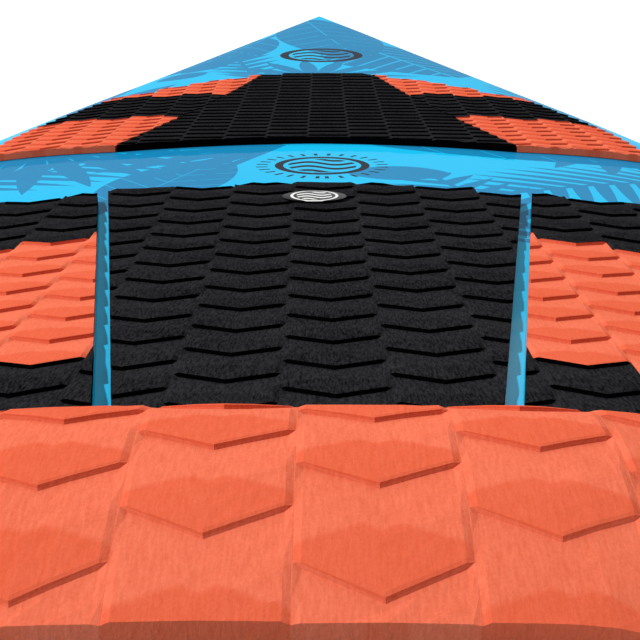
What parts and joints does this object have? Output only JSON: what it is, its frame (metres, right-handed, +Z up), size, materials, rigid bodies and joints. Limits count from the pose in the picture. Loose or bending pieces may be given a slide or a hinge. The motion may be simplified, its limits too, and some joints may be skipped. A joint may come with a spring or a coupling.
{
  "type": "kiteboard",
  "caption": "Strapless directional surf kiteboard with a pointed nose, scale-pattern foam traction pads, an arched kick pad, thruster fins, leash cup and vent.",
  "frame": {"origin": "on the flat of the bottom skin, on the centreline, half way between tail and nose", "axes": "+Y to the nose, +X to the rider's right, +Z up through the deck"},
  "size_m": [0.5378, 1.42, 0.1949],
  "materials": {
    "deck_laminate": "glossy clear laminate over a printed blue leaf pattern",
    "bottom_laminate": "glossy white laminate",
    "foam_core": "shaped closed-cell foam, bare",
    "stringer_wood": "sawn light wood",
    "black_foam": "brushed black foam, moulded in overlapping scale steps",
    "orange_foam": "brushed coral orange foam, moulded in overlapping scale steps",
    "wedge_foam": "plain black foam",
    "badge": "white moulded badge",
    "moulded_plastic": "moulded black plastic",
    "fin_composite": "glossy black composite",
    "steel": "stainless steel",
    "seal_rubber": "black rubber"
  },
  "bodies": {
    "board": {"bottom_skin": "bottom_laminate", "core_left": "foam_core", "core_right": "foam_core", "deck_skin": "deck_laminate", "fin_box_center": "moulded_plastic", "fin_box_left": "moulded_plastic", "fin_box_right": "moulded_plastic", "fin_center": "fin_composite", "fin_left": "fin_composite", "fin_right": "fin_composite", "fin_screw_center": "steel", "fin_screw_left": "steel", "fin_screw_right": "steel", "front_pad_center": "black_foam", "front_pad_left_middle": "black_foam", "front_pad_left_rear": "orange_foam", "front_pad_left_tip": "orange_foam", "front_pad_right_middle": "black_foam", "front_pad_right_rear": "orange_foam", "front_pad_right_tip": "orange_foam", "kick_pad": "orange_foam", "kick_wedge": "wedge_foam", "leash_cup": "moulded_plastic", "leash_pin": "steel", "pad_badge": "badge", "rear_pad_center": "black_foam", "rear_pad_left_front": "black_foam", "rear_pad_left_inlay": "orange_foam", "rear_pad_left_rear": "black_foam", "rear_pad_right_front": "black_foam", "rear_pad_right_inlay": "orange_foam", "rear_pad_right_rear": "black_foam", "stringer": "stringer_wood", "vent_body": "moulded_plastic"},
    "seal": {"vent_seal": "seal_rubber"},
    "screw": {"vent_screw": "steel"}
  },
  "joints": [
    {"name": "vent_lift", "type": "slide", "parent": "board", "child": "seal", "axis": [0.0349, 0.0556, 0.9978], "range_m": [0, 0.0025]},
    {"name": "vent_turn", "type": "hinge", "parent": "seal", "child": "screw", "pos_m": [0.036, -0.684, 0.0576], "axis": [0.0349, 0.0556, 0.9978], "range_deg": [0, 720]}
  ],
  "couplings": [
    {"joint": "vent_turn", "follows": "vent_lift", "rad_per_m": 5026.5}
  ]
}
